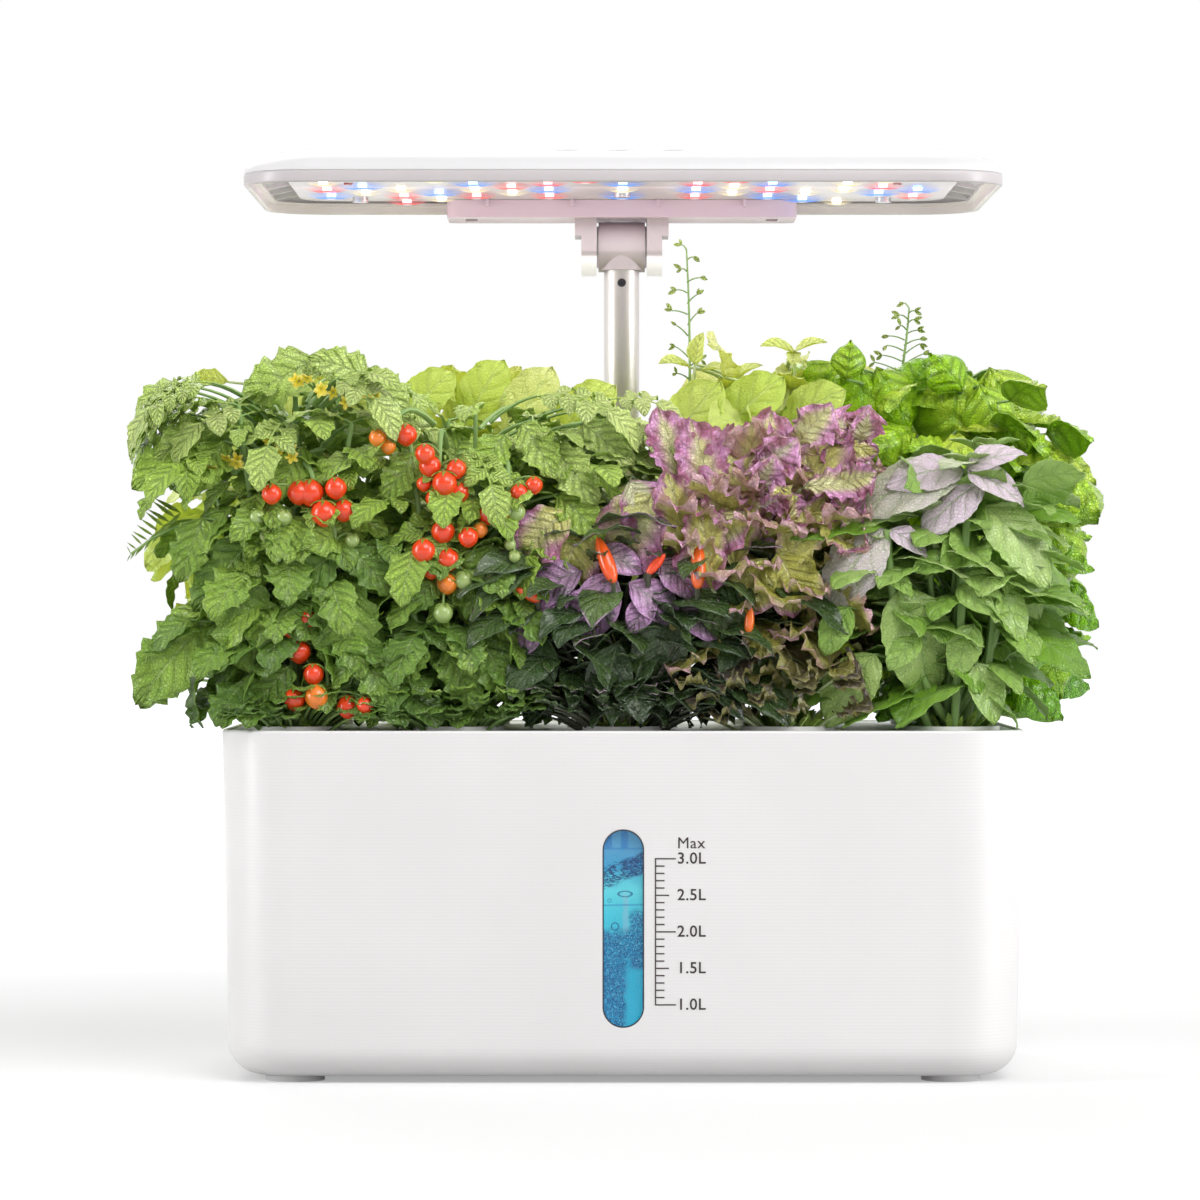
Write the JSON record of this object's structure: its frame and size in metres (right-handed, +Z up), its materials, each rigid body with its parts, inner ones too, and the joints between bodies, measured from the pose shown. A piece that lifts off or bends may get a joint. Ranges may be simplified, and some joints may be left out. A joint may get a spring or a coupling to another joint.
{
  "type": "countertop hydroponic garden",
  "caption": "White countertop hydroponic garden: water tank with window, lift-off grow deck with planted pods, pump, and a telescopic pole with a tilting LED grow lamp.",
  "frame": {"origin": "on the table under the centre of the tank", "axes": "+X to the right along the tank's length, +Y to the back, +Z up; the water window is on the -Y side"},
  "size_m": [0.336, 0.16, 0.3152],
  "materials": {
    "tank_white": "satin",
    "deck_white": "satin",
    "basket_white": "satin",
    "window_blue": "gloss",
    "seal_dark": "matte",
    "scale_ink": "matte",
    "foot_rubber": "matte",
    "head_white": "satin",
    "joint_white": "satin",
    "board_white": "satin",
    "light_white": "gloss",
    "light_red": "gloss",
    "light_blue": "gloss",
    "light_infrared": "gloss",
    "tube_metal": "satin",
    "screw_steel": "satin",
    "slide_nylon": "satin",
    "pump_plastic": "satin",
    "lead_black": "satin",
    "circuit_green": "satin",
    "button_grey": "satin",
    "tomato_leaf": "satin",
    "chili_leaf": "satin",
    "lettuce_leaf": "satin",
    "basil_leaf": "satin",
    "salad_leaf": "satin"
  },
  "bodies": {
    "tank": {"tank_shell": "tank_white", "window_lens": "window_blue", "window_gasket": "seal_dark", "level_scale": "scale_ink", "rubber_feet": "foot_rubber"},
    "deck": {"grow_deck": "deck_white", "pole_socket": "joint_white", "socket_screws": "screw_steel", "dc_jack": "pump_plastic", "mast_tube": "tube_metal", "guide_bush": "slide_nylon", "pump_stem": "deck_white", "pump_body": "pump_plastic", "pump_cover": "pump_plastic", "impeller_shaft": "screw_steel", "pump_lead": "lead_black", "lamp_lead": "lead_black"},
    "flap": {"refill_flap": "deck_white"},
    "pole": {"sliding_tube": "tube_metal", "slide_plug": "slide_nylon", "tilt_knuckle": "joint_white", "set_screw": "screw_steel", "friction_washers": "slide_nylon"},
    "lamp": {"head_frame": "head_white", "top_cover": "head_white", "led_board": "board_white", "leds_white": "light_white", "leds_red": "light_red", "leds_blue": "light_blue", "leds_infrared": "light_infrared", "head_screws": "screw_steel", "driver_box": "head_white", "driver_pcb": "circuit_green", "tilt_bracket": "joint_white", "pivot_bolt": "screw_steel", "switch_board": "circuit_green"},
    "power_key": {"power_button": "button_grey"},
    "light_key": {"light_button": "button_grey"},
    "pump_key": {"pump_button": "button_grey"},
    "rotor": {"impeller": "slide_nylon"},
    "pod_tomato_left": {"basket_1": "basket_white", "tomato_left": "tomato_leaf"},
    "pod_tomato_right": {"basket_2": "basket_white", "tomato_right": "tomato_leaf"},
    "pod_chili": {"basket_3": "basket_white", "chili": "chili_leaf"},
    "pod_lettuce": {"basket_4": "basket_white", "lettuce": "lettuce_leaf"},
    "pod_basil_front": {"basket_5": "basket_white", "basil_front": "basil_leaf"},
    "pod_salad_left": {"basket_6": "basket_white", "salad_left": "salad_leaf"},
    "pod_salad_right": {"basket_7": "basket_white", "salad_right": "salad_leaf"},
    "pod_basil_rear_left": {"basket_8": "basket_white", "basil_rear_left": "basil_leaf"},
    "pod_basil_rear_right": {"basket_9": "basket_white", "basil_rear_right": "basil_leaf"}
  },
  "joints": [
    {"name": "deck_lift", "type": "slide", "parent": "tank", "child": "deck", "axis": [0, 0, 1], "range_m": [0, 0.13]},
    {"name": "refill_flap_hinge", "type": "hinge", "parent": "deck", "child": "flap", "pos_m": [0, 0.0183, 0.12], "axis": [-1, 0, 0], "range_deg": [0, 105]},
    {"name": "lamp_height", "type": "slide", "parent": "deck", "child": "pole", "axis": [0, 0, 1], "range_m": [-0.01, 0.06], "deforming": ["lamp_lead"]},
    {"name": "lamp_tilt", "type": "hinge", "parent": "pole", "child": "lamp", "pos_m": [0, 0.055, 0.2895], "axis": [-1, 0, 0], "range_deg": [0, 90]},
    {"name": "power_press", "type": "slide", "parent": "lamp", "child": "power_key", "axis": [0, 0, -1], "range_m": [0, 0.001], "stiffness_N_per_m": 1200},
    {"name": "light_press", "type": "slide", "parent": "lamp", "child": "light_key", "axis": [0, 0, -1], "range_m": [0, 0.001], "stiffness_N_per_m": 1200},
    {"name": "pump_press", "type": "slide", "parent": "lamp", "child": "pump_key", "axis": [0, 0, -1], "range_m": [0, 0.001], "stiffness_N_per_m": 1200},
    {"name": "rotor_spin", "type": "hinge", "parent": "deck", "child": "rotor", "pos_m": [0, 0.0434, 0.02], "axis": [0, -1, 0], "continuous": true},
    {"name": "tomato_left_lift", "type": "slide", "parent": "deck", "child": "pod_tomato_left", "axis": [0, 0, 1], "range_m": [0, 0.036]},
    {"name": "tomato_right_lift", "type": "slide", "parent": "deck", "child": "pod_tomato_right", "axis": [0, 0, 1], "range_m": [0, 0.036]},
    {"name": "chili_lift", "type": "slide", "parent": "deck", "child": "pod_chili", "axis": [0, 0, 1], "range_m": [0, 0.036]},
    {"name": "lettuce_lift", "type": "slide", "parent": "deck", "child": "pod_lettuce", "axis": [0, 0, 1], "range_m": [0, 0.036]},
    {"name": "basil_front_lift", "type": "slide", "parent": "deck", "child": "pod_basil_front", "axis": [0, 0, 1], "range_m": [0, 0.036]},
    {"name": "salad_left_lift", "type": "slide", "parent": "deck", "child": "pod_salad_left", "axis": [0, 0, 1], "range_m": [0, 0.036]},
    {"name": "salad_right_lift", "type": "slide", "parent": "deck", "child": "pod_salad_right", "axis": [0, 0, 1], "range_m": [0, 0.036]},
    {"name": "basil_rear_left_lift", "type": "slide", "parent": "deck", "child": "pod_basil_rear_left", "axis": [0, 0, 1], "range_m": [0, 0.036]},
    {"name": "basil_rear_right_lift", "type": "slide", "parent": "deck", "child": "pod_basil_rear_right", "axis": [0, 0, 1], "range_m": [0, 0.036]}
  ]
}
